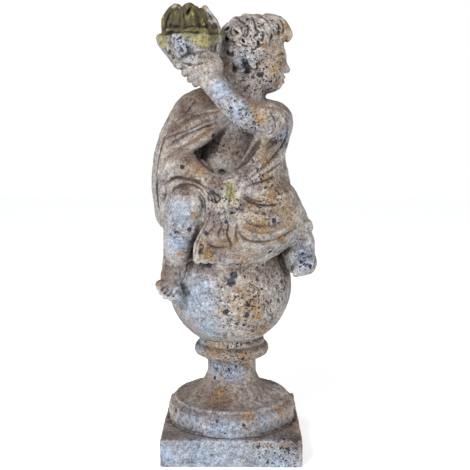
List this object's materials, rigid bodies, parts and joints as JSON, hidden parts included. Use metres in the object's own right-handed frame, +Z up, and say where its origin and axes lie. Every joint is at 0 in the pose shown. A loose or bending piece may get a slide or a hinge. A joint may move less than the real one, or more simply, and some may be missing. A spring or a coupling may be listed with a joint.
{
  "type": "garden statue",
  "caption": "Cast stone garden statue of a draped child seated on a ball above a turned stand and square plinth, one arm raised with a cup of leaves.",
  "frame": {"origin": "centre of the plinth's underside", "axes": "+Z up through the ball's centre, -Y towards the viewer of the statue's front, +X to the viewer's right, where the child looks"},
  "size_m": [0.3542, 0.3067, 0.9454],
  "materials": {
    "stone": "weathered cast stone with lichen and moss, matte"
  },
  "bodies": {
    "root": {"cherub_statue": "stone"}
  },
  "joints": []
}
